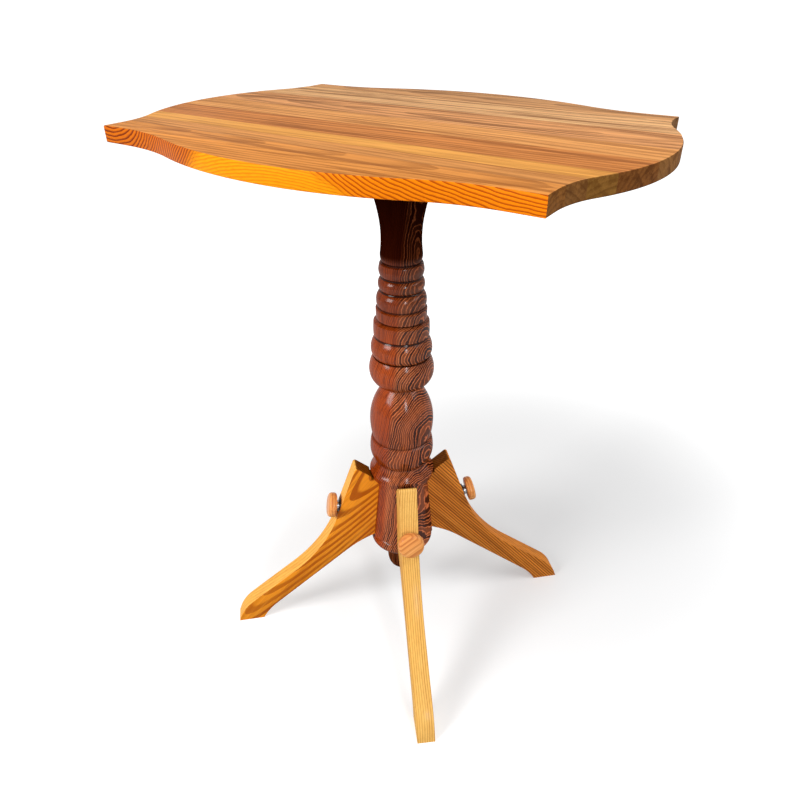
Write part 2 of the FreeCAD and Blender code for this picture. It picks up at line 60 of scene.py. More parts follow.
class Wire:
    def __init__(self, tree, socket):
        self.tree = tree
        self.socket = socket

    def node(self, kind, settings, inputs, output=0):
        node = self.tree.nodes.new("ShaderNode" + kind)
        for name, value in settings.items():
            setattr(node, name, value)
        for name, value in inputs.items():
            plug(self.tree, value, node.inputs[name])
        return Wire(self.tree, node.outputs[output])

    def maths(self, operation, *values):
        return self.node("Math", {"operation": operation}, dict(enumerate(values)))

    def __add__(self, other):
        return self.maths("ADD", self, other)

    def __radd__(self, other):
        return self.maths("ADD", other, self)

    def __sub__(self, other):
        return self.maths("SUBTRACT", self, other)

    def __rsub__(self, other):
        return self.maths("SUBTRACT", other, self)

    def __mul__(self, other):
        return self.maths("MULTIPLY", self, other)

    def __rmul__(self, other):
        return self.maths("MULTIPLY", other, self)

    def __truediv__(self, other):
        return self.maths("DIVIDE", self, other)

    def __pow__(self, other):
        return self.maths("POWER", self, other)


def startMaterial(name):
    material = bpy.data.materials.new(name)
    material.use_nodes = True
    tree = material.node_tree
    shader = tree.nodes["Principled BSDF"]
    point = Wire(tree, tree.nodes.new("ShaderNodeTexCoord").outputs["Object"])
    return material, shader, point


def along(point, origin, axis):
    offset = point.node("VectorMath", {"operation": "SUBTRACT"}, {0: point, 1: origin})
    return point.node("VectorMath", {"operation": "DOT_PRODUCT"}, {0: offset, 1: axis}, "Value")


def joined(x, y, z):
    return x.node("CombineXYZ", {}, {0: x, 1: y, 2: z})


def noise(vector, scale, detail=2.0, roughness=0.5):
    inputs = {"Vector": vector, "Scale": scale, "Detail": detail, "Roughness": roughness}
    return vector.node("TexNoise", {}, inputs)


def smooth(value, start, finish, low=0.0, high=1.0):
    inputs = {"Value": value, "From Min": start, "From Max": finish, "To Min": low, "To Max": high}
    return value.node("MapRange", {"interpolation_type": "SMOOTHSTEP"}, inputs)


def mixed(factor, first, second):
    return factor.node("Mix", {"data_type": "RGBA"}, {0: factor, 6: first, 7: second}, 2)


# A colour as a screen shows it, 0 to 255, turned into light
def colour(red, green, blue):
    parts = [part / 255 for part in (red, green, blue)]
    return tuple(part / 12.92 if part < 0.04 else ((part + 0.055) / 1.055) ** 2.4 for part in parts) + (1.0,)


# Wood: rings about a pith line that runs along the grain, darkest at the end of each year
grainDefaults = {
    "origin": (0.0, 0.0, 0.0),
    "grain": (1.0, 0.0, 0.0),
    "across": (0.0, 1.0, 0.0),
    "deep": (0.0, 0.0, 1.0),
    "pith": (0.0, -0.06),
    "ringStart": 0.0,
    "spacing": 0.004,
    "stretch": 0.12,
    "wobbleScale": 9.0,
    "wobble": 2.0,
    "wobbleDetail": 2.0,
    "rippleScale": 60.0,
    "ripple": 0.35,
    "lateStart": 0.35,
    "latePeak": 0.92,
    "lateFade": 0.04,
    "palestYear": 0.65,
    "lean": 0.0,
    "contrast": 0.8,
    "early": colour(214, 160, 98),
    "late": colour(150, 86, 38),
    "tint": colour(190, 130, 72),
    "pale": colour(230, 182, 122),
    "tintScale": 6.0,
    "tintSpan": (0.3, 0.7),
    "tintShare": 0.5,
    "fibre": 0.25,
    "fibreScale": 700.0,
    "fibreStretch": 0.02,
    "fibreSpan": (0.42, 0.75),
    "streak": 0.3,
    "darkStreakSpan": (0.49, 0.6),
    "paleStreakSpan": (0.46, 0.36),
    "streakScale": 120.0,
    "streakStretch": 0.035,
    "gloss": 0.06,
    "roughness": (0.26, 0.4),
    "coat": 0.12,
    "coatRoughness": 0.12,
    "bump": 0.0004,
    "bumpStrength": 0.6,
    "fibreHeight": 0.4,
    "lateHeight": 0.6,
}


shadeShares = {"early": 1.04, "tint": 0.92, "pale": 1.14}
lateShares = (1.0, 0.88, 0.7)  # late wood is redder than the rest


# Light, dark and in-between shades of one board, from its mean colour as a screen shows it
def shades(red, green, blue, depth=0.66):
    mean = (red, green, blue)
    look = {name: colour(*(min(255, part * share) for part in mean)) for name, share in shadeShares.items()}
    look["late"] = colour(*(part * depth * share for part, share in zip(mean, lateShares)))
    return look


def yearRings(point, look):
    length, across, deep = (along(point, look["origin"], look[way]) for way in ("grain", "across", "deep"))
    drawn = joined(length * look["stretch"], across, deep)
    wobble = (noise(drawn, look["wobbleScale"], look["wobbleDetail"]) - 0.5) * look["wobble"]
    ripple = (noise(drawn, look["rippleScale"]) - 0.5) * look["ripple"]
    aside = across - look["pith"][0]
    below = deep - look["pith"][1] + length * look["lean"]
    radius = (aside * aside + below * below) ** 0.5
    rings = (radius - look["ringStart"]) / look["spacing"] + wobble + ripple
    phase = rings.maths("FRACT", rings)
    year = rings.node("TexWhiteNoise", {"noise_dimensions": "1D"}, {"W": rings.maths("FLOOR", rings)})
    late = smooth(phase, look["lateStart"], look["latePeak"])
    late = late * smooth(phase, 1 - look["lateFade"], 1.0, 1.0, 0.0)
    late = late * (look["palestYear"] + (1 - look["palestYear"]) * year)
    fine = joined(length * look["fibreStretch"], across, deep)
    fibre = noise(fine, look["fibreScale"], detail=3.0, roughness=0.6)
    patch = noise(drawn, look["tintScale"], detail=3.0)
    drawnOut = joined(length * look["streakStretch"], across, deep)
    streak = noise(drawnOut, look["streakScale"], detail=5.0, roughness=0.7)
    return late, fibre, patch, streak


# Fibres stand up and late wood lies a little lower
def addBump(shader, look, fibre, late):
    height = fibre * look["fibreHeight"] - late * look["lateHeight"]
    inputs = {"Height": height, "Distance": look["bump"], "Strength": look["bumpStrength"]}
    plug(fibre.tree, fibre.node("Bump", {}, inputs), shader.inputs["Normal"])


def finishWood(material, shader, point, look, late, fibre, patch, streak):
    late = late * look["contrast"]
    ground = mixed(smooth(patch, *look["tintSpan"]) * look["tintShare"], look["early"], look["tint"])
    shade = mixed(late, ground, look["late"])
    shade = mixed(smooth(streak, *look["darkStreakSpan"]) * look["streak"], shade, look["late"])
    shade = mixed(smooth(streak, *look["paleStreakSpan"]) * look["streak"], shade, look["pale"])
    shade = mixed(smooth(fibre, *look["fibreSpan"]) * look["fibre"], shade, look["late"])
    plug(point.tree, shade, shader.inputs["Base Color"])
    shader.inputs["Specular IOR Level"].default_value = look["gloss"]
    low, high = look["roughness"]
    plug(point.tree, low + (high - low) * fibre, shader.inputs["Roughness"])
    shader.inputs["Coat Weight"].default_value = look["coat"]
    shader.inputs["Coat Roughness"].default_value = look["coatRoughness"]
    addBump(shader, look, fibre, late)
    return material


def wood(name, **changes):
    look = {**grainDefaults, **changes}
    material, shader, point = startMaterial(name)
    return finishWood(material, shader, point, look, *yearRings(point, look))


# Meshes
softEdge = math.radians(28)  # flatter edges are shaded smooth
easedEdge = math.radians(30)  # sharper edges can be eased
flatSeam = math.radians(0.6)  # flatter edges lie within one face
weldGap = 0.002 * millimetre  # closer points are one
levelWithin = 0.001 * millimetre
closeBy = 0.1 * millimetre
facing = 0.6  # least part of a face's normal along a direction, for the face to be marked as that side
squarely = 0.99  # the same for a face that lies square to the direction
endMaterial, edgeMaterial = 1, 2  # places in a piece's materials, after its main one


def newPiece(name, form, materials, body, stoodFor):
    mesh = bpy.data.meshes.new(name)
    form.to_mesh(mesh)
    form.free()
    piece = bpy.data.objects.new(name, mesh)
    bpy.context.scene.collection.objects.link(piece)
    for material in materials:
        mesh.materials.append(material)
    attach(piece, body)
    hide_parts(stoodFor)
    return piece


def setSmooth(form, sharpest=softEdge):
    for face in form.faces:
        face.smooth = True
    for edge in form.edges:
        edge.smooth = len(edge.link_faces) == 2 and edge.calc_face_angle(0.0) < sharpest


# A CAD node's own solid with its seams welded and its flat faces whole again
def weldedForm(node):
    form = bmesh.new()
    form.from_mesh(frame["nodes"][node].data)
    bmesh.ops.remove_doubles(form, verts=form.verts, dist=weldGap)
    bmesh.ops.dissolve_limit(form, angle_limit=flatSeam, verts=form.verts, edges=form.edges)
    return form


def ease(form, wanted, radius, segments=3):
    edges = [edge for edge in form.edges if len(edge.link_faces) == 2
             and edge.calc_face_angle(0.0) > easedEdge and wanted(edge)]
    bmesh.ops.bevel(form, geom=edges, offset=radius, offset_type="OFFSET", segments=segments, profile=0.5,
                    affect="EDGES", clamp_overlap=True, material=-1)


def spun(points, centre, axis, steps):
    form = bmesh.new()
    axis = Vector(axis).normalized()
    side = axis.orthogonal().normalized()
    corners = [form.verts.new(Vector(centre) + side * radius + axis * height) for radius, height in points]
    edges = [form.edges.new(pair) for pair in zip(corners, corners[1:])]
    bmesh.ops.spin(form, geom=corners + edges, cent=centre, axis=axis, dvec=(0, 0, 0), angle=math.tau,
                   steps=steps, use_merge=True, use_duplicate=False)
    bmesh.ops.remove_doubles(form, verts=form.verts, dist=weldGap / 2)
    bmesh.ops.recalc_face_normals(form, faces=form.faces)
    return form


# Points along an arc between two points that swells by a share of its chord
def swelledArc(first, last, swell, steps):
    step = (last[0] - first[0], last[1] - first[1])
    chord = math.hypot(*step)
    points = []
    for index in range(steps):
        share = index / steps
        rise = 4 * swell * chord * share * (1 - share)
        points.append((first[0] + step[0] * share + step[1] / chord * rise,
                       first[1] + step[1] * share - step[0] / chord * rise))
    return points


print("stage: shaders and mesh helpers ready")

# Top: eight staves from the front to the back, each sawn from its own board
stavesLook = {
    "roundOver": 1.4 * millimetre,
    "boardShift": 0.07,
    "boards": (
        {**shades(218, 142, 68), "pith": (0.03, -0.045), "spacing": 0.0052, "wobble": 3.2,
         "contrast": 0.62, "lean": 0.05, "streak": 0.62},
        {**shades(216, 146, 78), "pith": (-0.05, -0.07), "spacing": 0.0044, "wobble": 2.2,
         "contrast": 0.5, "lean": 0.03, "streak": 0.55},
        {**shades(232, 162, 78), "pith": (0.02, -0.12), "spacing": 0.0060, "wobble": 1.6,
         "contrast": 0.42, "lean": 0.02, "streak": 0.45},
        {**shades(208, 131, 66), "pith": (0.05, -0.06), "spacing": 0.0056, "wobble": 3.0,
         "contrast": 0.6, "lean": 0.05, "streak": 0.65},
        {**shades(232, 160, 90), "pith": (-0.06, -0.05), "spacing": 0.0070, "wobble": 2.8,
         "contrast": 0.6, "lean": 0.05, "streak": 0.6},
        {**shades(228, 158, 98, 0.58), "pith": (0.0, -0.03), "spacing": 0.0110, "wobble": 4.4,
         "contrast": 0.6, "lean": 0.12, "streak": 0.75},
        {**shades(238, 180, 122, 0.6), "pith": (0.04, -0.05), "spacing": 0.0110, "wobble": 3.6,
         "contrast": 0.5, "lean": 0.09, "streak": 0.8},
        {**shades(218, 158, 102, 0.6), "pith": (0.0, -0.03), "spacing": 0.0130, "wobble": 3.8,
         "contrast": 0.5, "lean": 0.12, "streak": 0.65},
    ),
    "finish": {"gloss": 0.0, "coat": 0.13, "coatRoughness": 0.3, "roughness": (0.3, 0.5), "fibre": 0.35,
               "stretch": 0.09, "streakScale": 95.0, "streakStretch": 0.045},
    "endShare": 0.3,
}
endFinish = {"coat": 0.05, "roughness": (0.45, 0.6), "contrast": 0.5}


# The same board where it is cut across the grain: darker and duller
def endGrain(look, share):
    darker = {part: tuple(value * share for value in look[part][:3]) + (1.0,)
              for part in ("early", "late", "tint", "pale")}
    return {**look, **darker, **endFinish}


def markEnds(form, grain):
    for face in form.faces:
        if abs(face.normal.dot(Vector(grain))) > facing:
            face.material_index = endMaterial


def makeStave(number, look):
    node = f"top_stave_{number}"
    low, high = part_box(node)
    joints = [low.y] if number > 1 else []
    joints += [high.y] if number < len(stavesLook["boards"]) else []

    def isJoint(face):
        away = min((abs(face.calc_center_median().y - joint) for joint in joints), default=millimetre)
        return abs(face.normal.y) > squarely and away < closeBy

    def isRim(edge):
        level = abs(edge.verts[0].co.z - edge.verts[1].co.z) < levelWithin
        return level and not any(isJoint(face) for face in edge.link_faces)

    form = weldedForm(node)
    ease(form, isRim, stavesLook["roundOver"])
    setSmooth(form)
    middle = (low + high) / 2
    look = {**look, "origin": (stavesLook["boardShift"] * number, middle.y, middle.z), **stavesLook["finish"]}
    markEnds(form, grainDefaults["grain"])
    materials = [wood(node + "_pine", **look),
                 wood(node + "_end", **endGrain(look, stavesLook["endShare"]))]
    if number == 1:
        markFront(form)
        materials.append(frontEdge())
    return newPiece(f"stave_{number}_eased", form, materials, "root", node)


# The front edge cuts across the rings: arcs at the left, upright lines, a yellow stretch of flat faint arcs,
# and slanted lines that level out at the right. Places are in metres along the edge and up from its middle.
frontLook = {
    "arcs": {"centre": (-0.243, 0.03), "squash": 1.25, "spacing": 0.0040},
    "uprights": {"slant": -1.0, "spacing": 0.0046},
    "flats": {"centre": (0.03, -0.05), "squash": 2.6, "spacing": 0.0026, "strength": 0.6},
    "slants": {"centre": (0.262, 0.311), "squash": 1.0, "spacing": 0.0034, "strength": 0.85},
    "uprightsFrom": (-0.19, -0.17),
    "flatsFrom": (-0.1, -0.07),
    "slantsFrom": (0.07, 0.09),
    "boundarySlant": 1.94,
    "left": (colour(202, 102, 12), colour(112, 38, 2)),
    "middle": (colour(246, 152, 14), colour(198, 104, 6)),
    "right": (colour(238, 128, 8), colour(152, 56, 2)),
    "lateSpan": (0.35, 0.8),
    "lateFade": 0.1,
    "wobble": 2.2,
    "wobbleScale": 34.0,
    "wobbleStretch": 0.6,
    "fibre": 0.25,
    "fibreScale": 600.0,
    "fibreStretch": 0.2,
    "fibreSpan": (0.45, 0.8),
    "roughness": (0.34, 0.5),
    "gloss": 0.05,
    "bump": 0.0002,
    "bumpStrength": 0.5,
    "fibreHeight": 1.0,
    "lateHeight": 0.0,
}


def markFront(form):
    for face in form.faces:
        if face.normal.y < -facing:
            face.material_index = edgeMaterial


def ringLines(rings):
    phase = rings.maths("FRACT", rings)
    return smooth(phase, *frontLook["lateSpan"]) * smooth(phase, 1 - frontLook["lateFade"], 1.0, 1.0, 0.0)


def frontEdge():
    material, shader, point = startMaterial("front_edge_pine")
    low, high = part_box("top_stave_1")
    middle = (low.z + high.z) / 2
    across = along(point, (0, 0, 0), (1, 0, 0))
    lift = along(point, (0, 0, middle), (0, 0, 1))
    still = across * 0
    drawn = joined(across * frontLook["wobbleStretch"], still, lift)
    wobble = (noise(drawn, frontLook["wobbleScale"], detail=3.0) - 0.5) * frontLook["wobble"]

    def arcsAbout(look):
        aside = (across - look["centre"][0]) / look["squash"]
        above = lift - look["centre"][1]
        return ringLines((aside * aside + above * above) ** 0.5 / look["spacing"] + wobble)

    uprights = frontLook["uprights"]
    upright = ringLines((across + lift * uprights["slant"]) / uprights["spacing"] + wobble)
    toUprights = smooth(across, *frontLook["uprightsFrom"])
    toFlats = smooth(across + lift * uprights["slant"], *frontLook["flatsFrom"])
    toSlants = smooth(across + lift * frontLook["boundarySlant"], *frontLook["slantsFrom"])
    arcs = arcsAbout(frontLook["arcs"])
    flats = arcsAbout(frontLook["flats"]) * frontLook["flats"]["strength"]
    slants = arcsAbout(frontLook["slants"]) * frontLook["slants"]["strength"]
    left = mixed(arcs + (upright - arcs) * toUprights, *frontLook["left"])
    yellow = mixed(flats, *frontLook["middle"])
    right = mixed(slants, *frontLook["right"])
    shade = mixed(toSlants, mixed(toFlats, left, yellow), right)
    fine = joined(across * frontLook["fibreStretch"], still, lift)
    fibre = noise(fine, frontLook["fibreScale"], detail=3.0, roughness=0.6)
    shade = mixed(smooth(fibre, *frontLook["fibreSpan"]) * frontLook["fibre"], shade, frontLook["right"][1])
    plug(point.tree, shade, shader.inputs["Base Color"])
    low, high = frontLook["roughness"]
    plug(point.tree, low + (high - low) * fibre, shader.inputs["Roughness"])
    shader.inputs["Specular IOR Level"].default_value = frontLook["gloss"]
    addBump(shader, frontLook, fibre, still)
    return material


for number, look in enumerate(stavesLook["boards"], start=1):
    makeStave(number, look)
print("stage: top ready")

# Column: two boards glued up, turned, stained and varnished
columnLook = {
    "centre": (4.1 * millimetre, 2.7 * millimetre, 0.0),
    "steps": 96,
    "blockFlats": (90 * millimetre, 70.5 * millimetre),
    "tenonRadius": 18 * millimetre,
    "arcSteps": 9,
    "blockEase": 1.0 * millimetre,
    "blockEaseSteps": 2,
    "grooveReach": 4.5 * millimetre,
}

# Sections from the drop up: height and radius in millimetres, then the corners of the profile, each with its
# share of the height, its share of the radius and how much the line to the next corner swells
columnSections = (
    (60.5, 23.0, ((0, 0, 0.207), (0.336, 0.935, 0.02), (1, 1, 0))),
    (21.5, 47.0, ((0, 0.862, 0.29), (0.93, 0.894, 0), (0.93, 0.872, 0), (1, 0.872, 0))),
    (108.5, 28.0, ((0, 1, 0), (1, 1, 0))),
    (28.5, 47.0, ((0, 0.957, 0), (0.21, 0.957, 0), (0.23, 0.985, 0.12), (0.44, 0.985, -0.08), (1, 0.835, 0))),
    (39.5, 45.4, ((0.02, 0.855, 0.078), (0.53, 1, 0.028), (0.94, 0.96, 0), (1, 0.905, 0))),
    (85.0, 44.7, ((0.01, 0.922, 0.029), (0.353, 1, 0.0855), (0.976, 0.582, 0))),
    (46.0, 44.1, ((0, 0.59, 0.162), (0.545, 1, 0.066), (0.99, 0.875, 0))),
    (29.0, 41.1, ((0, 0.9, 0.09), (0.38, 1, 0.078), (0.985, 0.862, 0))),
    (24.0, 37.6, ((0.03, 0.93, 0), (0.12, 0.985, 0.02), (0.88, 0.975, 0), (1, 0.86, 0))),
    (17.5, 33.5, ((0.03, 0.94, 0), (0.12, 0.985, 0.01), (0.88, 1, 0), (1, 0.925, 0))),
    (22.5, 32.6, ((0.02, 0.95, 0.06), (0.45, 1, 0.11), (0.98, 0.84, 0))),
    (18.0, 30.0, ((0.02, 0.9, 0.1), (0.5, 1, 0.1), (0.98, 0.87, 0))),
    (19.0, 29.0, ((0.02, 0.9, 0.09), (0.55, 1, 0.02), (0.92, 0.95, 0), (0.98, 0.86, 0))),
    (59.5, 26.5, ((0.01, 0.94, 0.08), (0.21, 1, -0.04))),
    (63.5, 44.0, ((0, 0.645, -0.025), (0.66, 0.93, 0), (0.72, 1, 0.06), (1, 0.97, 0))),
)
blockSection = 2


def knobAxis(place):
    joint = next(joint for joint in frame["joints"] if joint["name"] == "knob_turn_" + place)
    return Vector(joint["pos_m"]), Vector(joint["axis"]).normalized()


def legAzimuth(place):
    axis = knobAxis(place)[1]
    return math.atan2(axis.y, axis.x)


def columnProfile(low, high):
    corners = []
    level = low
    for height, radius, shares in columnSections:
        for heightShare, radiusShare, swell in shares:
            rise = height * heightShare * millimetre
            corners.append((radius * radiusShare * millimetre, level + rise, swell))
        level += height * millimetre
    tenon = columnLook["tenonRadius"]
    corners += [(tenon, level, 0), (tenon, high, 0), (0.0, high, 0)]
    points = []
    for (radius, height, swell), after in zip(corners, corners[1:]):
        steps = columnLook["arcSteps"] if swell else 1
        points += swelledArc((radius, height), after[:2], swell, steps)
    points.append(corners[-1][:2])
    return points


# The leg block: a flat for each leg and one between each pair
def blockForm(low):
    def isUpright(edge):
        return abs(edge.verts[0].co.z - edge.verts[1].co.z) > millimetre

    start = low + sum(section[0] for section in columnSections[:blockSection]) * millimetre
    finish = start + columnSections[blockSection][0] * millimetre
    legs = sorted(legAzimuth(place) % math.tau for place in places)
    flats = []
    for azimuth, following in zip(legs, legs[1:] + [legs[0] + math.tau]):
        flats += [azimuth, (azimuth + following) / 2]
    form = bmesh.new()
    rings = []
    for width, height in zip(columnLook["blockFlats"], (start, finish)):
        ring = []
        for azimuth, following in zip(flats, flats[1:] + [flats[0] + math.tau]):
            reach = width / 2 / math.cos((following - azimuth) / 2)
            middle = (azimuth + following) / 2
            outward = Vector((math.cos(middle), math.sin(middle), 0))
            spot = Vector(columnLook["centre"]) + outward * reach
            ring.append(form.verts.new((spot.x, spot.y, height)))
        rings.append(ring)
    for index in range(len(flats)):
        after = (index + 1) % len(flats)
        form.faces.new((rings[0][index], rings[0][after], rings[1][after], rings[1][index]))
    form.faces.new(rings[0][::-1])
    form.faces.new(rings[1])
    bmesh.ops.recalc_face_normals(form, faces=form.faces)
    ease(form, isUpright, columnLook["blockEase"], columnLook["blockEaseSteps"])
    return form


# How far a place on the column lies below the bulges above and below it; the depth sets how much painted
# shade the place gets
def grooveDepth(points, radius, height):
    reach = columnLook["grooveReach"]
    above = [wide for wide, level in points if 0 <= level - height < reach]
    below = [wide for wide, level in points if 0 <= height - level < reach]
    return max(0.0, min(max(above + [0.0]), max(below + [0.0])) - radius)


# The column is stained and varnished; its left board is quiet and its right one figured. Painted shade
# darkens its grooves, its upper part and neck under the top, and its drop under the leg block
stainLook = {
    **grainDefaults,
    "origin": columnLook["centre"],
    "grain": (0.0, 0.0, 1.0),
    "across": (0.0, -1.0, 0.0),
    "deep": (1.0, 0.0, 0.0),
    "pith": (0.0, -0.25),
    "lean": -0.18,
    "ringStart": 0.22,
    "spacing": 0.0021,
    "blockSpacing": 0.0026,
    "stretch": 0.8,
    "wobbleScale": 17.0,
    "wobble": 12.0,
    "wobbleDetail": 1.0,
    "rippleScale": 110.0,
    "ripple": 1.1,
    "lateStart": 0.1,
    "latePeak": 0.27,
    "lateFade": 0.08,
    "streakScale": 240.0,
    "darkStreakSpan": (0.46, 0.66),
    "streak": 0.45,
    "quiet": {"early": colour(194, 84, 26), "late": colour(58, 9, 2), "tint": colour(146, 48, 12),
              "contrast": 0.7},
    "figured": {"early": colour(230, 130, 76), "late": colour(36, 3, 1), "tint": colour(176, 76, 38),
                "contrast": 1.0},
    "figuredWay": (0.835, 0.55, -0.068),
    "figuredFrom": (0.005, -0.003),
    "figuredWander": 0.012,
    # the dark colour that the painted shade in the grooves, upper column, neck and drop mixes towards
    "paintedShade": colour(28, 3, 1),
    "blockContrast": 0.85,
    "blockFrom": (0.37, 0.29),
    # painted shade on the neck under the top; the figured board's light lines show through it a little
    "neckFrom": (0.583, 0.6),
    "neckShade": 0.92,
    "neckFigure": 0.26,
    "neckTone": 0.12,
    # painted shade growing towards the top, from the discs up to the neck
    "upperFrom": (0.42, 0.58),
    "upperShade": 0.5,
    # painted shade on the drop under the leg block
    "dropFrom": (0.137, 0.125),
    "dropShade": 0.6,
    # painted shade in the grooves, by groove depth
    "grooveSpan": (0.0001, 0.0014),
    "grooveShade": 0.9,
    "roughness": (0.26, 0.38),
    "gloss": 0.0,
    "coat": (0.3, 0.0),
    "coatRoughness": 0.17,
    "bump": 0.0002,
    "bumpStrength": 0.4,
    "fibreHeight": 0.3,
    "lateHeight": 0.5,
}


def stainedWood():
    look = stainLook
    material, shader, point = startMaterial("stained_pine")
    height = along(point, look["origin"], (0, 0, 1))
    inBlock = smooth(height, *look["blockFrom"][::-1], 1.0, 0.0)
    spacing = look["spacing"] + inBlock * (look["blockSpacing"] - look["spacing"])
    late, fibre, patch, streak = yearRings(point, {**look, "spacing": spacing})
    aside = along(point, (*look["origin"][:2], look["neckFrom"][1]), look["figuredWay"])
    side = 1 - smooth(aside + look["figuredWander"] * (patch - 0.5), *look["figuredFrom"])
    boards = []
    for half in (look["quiet"], look["figured"]):
        ground = mixed(smooth(patch, *look["tintSpan"]) * look["tintShare"], half["early"], half["tint"])
        contrast = half["contrast"] + inBlock * max(0.0, look["blockContrast"] - half["contrast"])
        boards.append(mixed(late * contrast, ground, half["late"]))
    shade = mixed(side, *boards)
    shade = mixed(smooth(streak, *look["darkStreakSpan"]) * look["streak"], shade, look["figured"]["late"])
    # Painted shade: the deeper a place lies in a groove, the darker it is, standing in for the shade in the
    # recesses
    groove = point.node("Attribute", {"attribute_name": "groove"}, {}, "Fac")
    grooveShadeMask = smooth(groove, *look["grooveSpan"]) * look["grooveShade"]
    shade = mixed(grooveShadeMask, shade, look["paintedShade"])
    # Painted shade: the upper column darkens towards the top, which overhangs it
    shade = mixed(smooth(height, *look["upperFrom"]) * look["upperShade"], shade, look["paintedShade"])
    # Painted shade under the top: the neck is darkened towards the dark colour, less where the figured
    # board's light lines show
    neck = smooth(height, *look["neckFrom"])
    shown = side * (look["neckTone"] + look["neckFigure"] * (1 - late))
    shade = mixed(neck * (look["neckShade"] - shown), shade, look["paintedShade"])
    # Painted shade under the leg block: the drop is darkened towards the dark colour
    drop = smooth(height, *look["dropFrom"][::-1], 1.0, 0.0)
    shade = mixed(drop * look["dropShade"], shade, look["paintedShade"])
    plug(point.tree, shade, shader.inputs["Base Color"])
    low, high = look["roughness"]
    plug(point.tree, low + (high - low) * fibre, shader.inputs["Roughness"])
    shader.inputs["Specular IOR Level"].default_value = look["gloss"]
    glossy, dull = look["coat"]
    plug(point.tree, glossy + (dull - glossy) * (neck + drop), shader.inputs["Coat Weight"])
    shader.inputs["Coat Roughness"].default_value = look["coatRoughness"]
    addBump(shader, look, fibre, late)
    return material


def makeColumn():
    low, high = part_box("column")
    profile = columnProfile(low.z, high.z)
    form = spun(profile, columnLook["centre"], (0, 0, 1), columnLook["steps"])
    for vert in form.verts:
        vert.tag = True  # turned, so it can lie in a groove
    block = blockForm(low.z)
    added = bpy.data.meshes.new("block")
    block.to_mesh(added)
    block.free()
    form.from_mesh(added)
    bpy.data.meshes.remove(added)
    groove = form.verts.layers.float.new("groove")
    for vert in form.verts:
        reach = (vert.co - Vector(columnLook["centre"])).to_2d().length
        vert[groove] = grooveDepth(profile, reach, vert.co.z) if vert.tag else 0.0
    setSmooth(form)
    return newPiece("column_turned", form, [stainedWood()], "root", "column")


makeColumn()
print("stage: column ready")

# Legs: planks with eased edges and rounded horns
legsLook = {
    "roundOver": 1.6 * millimetre,
    "hornRound": 5 * millimetre,
    "hornSteps": 5,
    "boards": {
        "front_right": {"early": colour(234, 186, 102), "late": colour(172, 102, 36),
                        "tint": colour(228, 168, 78), "pale": colour(250, 212, 128), "pith": (0.0, 0.13),
                        "spacing": 0.0033, "wobble": 1.6, "contrast": 0.9, "streak": 0.25, "lateStart": 0.5},
        "back_right": {"early": colour(240, 148, 56), "late": colour(90, 34, 6), "tint": colour(222, 126, 42),
                       "pale": colour(242, 164, 74), "pith": (0.11, 0.05), "spacing": 0.0034,
                       "wobble": 1.4, "contrast": 1.0, "streak": 0.3, "lateStart": 0.4},
        "back_left": {"early": colour(214, 138, 60), "late": colour(126, 62, 16),
                      "tint": colour(196, 118, 44), "pale": colour(226, 156, 76), "pith": (-0.02, 0.08),
                      "spacing": 0.0052, "wobble": 2.0, "contrast": 0.8, "streak": 0.35},
        "front_left": {"early": colour(246, 154, 38), "late": colour(166, 76, 8),
                       "tint": colour(236, 138, 28), "pale": colour(250, 172, 60), "pith": (0.004, -0.04),
                       "spacing": 0.0054, "wobble": 4.2, "contrast": 0.9, "streak": 0.3, "lean": 0.12,
                       "lateStart": 0.4, "latePeak": 0.62},
    },
    "edges": {
        "front_right": {"contrast": 0.9, "streak": 0.08},
        "back_right": {"contrast": 0.3, "streak": 0.15},
        "back_left": {"contrast": 0.3, "streak": 0.15},
        "front_left": {"contrast": 0.25, "streak": 0.15, "early": colour(254, 190, 92),
                       "tint": colour(250, 178, 74)},
    },
    "finish": {"roughness": (0.32, 0.48), "coat": 0.12, "coatRoughness": 0.2, "gloss": 0.0},
    "endShare": 0.45,
    "grainSlope": math.radians(50),
    "boardMiddle": 0.14,
    "leastReach": 48 * millimetre,
    "leastAside": 10 * millimetre,
}


def makeLeg(place, look):
    azimuth = legAzimuth(place)
    outward = Vector((math.cos(azimuth), math.sin(azimuth), 0))
    sideways = Vector((-math.sin(azimuth), math.cos(azimuth), 0))
    slope = legsLook["grainSlope"]
    grain = outward * math.cos(slope) - Vector((0, 0, 1)) * math.sin(slope)
    across = outward * math.sin(slope) + Vector((0, 0, 1)) * math.cos(slope)
    centre = Vector(columnLook["centre"])

    def isLong(edge):
        aside = [abs((vert.co - centre).dot(sideways)) for vert in edge.verts]
        reach = min((vert.co - centre).dot(outward) for vert in edge.verts)
        clear = min(vert.co.z for vert in edge.verts) > millimetre
        onSide = any(abs(face.normal.dot(sideways)) > squarely for face in edge.link_faces)
        outside = min(aside) > legsLook["leastAside"] and reach > legsLook["leastReach"]
        return onSide and outside and clear

    def isHornTip(edge):
        return min(vert.co.z for vert in edge.verts) > hornHeight - closeBy

    form = weldedForm("leg_" + place)
    hornHeight = max(vert.co.z for vert in form.verts)
    ease(form, isHornTip, legsLook["hornRound"], legsLook["hornSteps"])
    ease(form, isLong, legsLook["roundOver"])
    setSmooth(form)
    origin = centre + (outward + Vector((0, 0, 1))) * legsLook["boardMiddle"]
    look = {**look, "origin": tuple(origin), "grain": tuple(grain), "across": tuple(across),
            "deep": tuple(sideways), **legsLook["finish"]}
    for face in form.faces:
        if abs(face.normal.dot(sideways)) < facing:
            face.material_index = edgeMaterial
    markEnds(form, grain)
    materials = [wood("leg_pine_" + place, **look),
                 wood("leg_end_" + place, **endGrain(look, legsLook["endShare"])),
                 wood("leg_edge_" + place, **{**look, **legsLook["edges"][place]})]
    return newPiece("plank_leg_" + place, form, materials, "root", "leg_" + place)


for place, look in legsLook["boards"].items():
    makeLeg(place, look)
print("stage: legs ready")

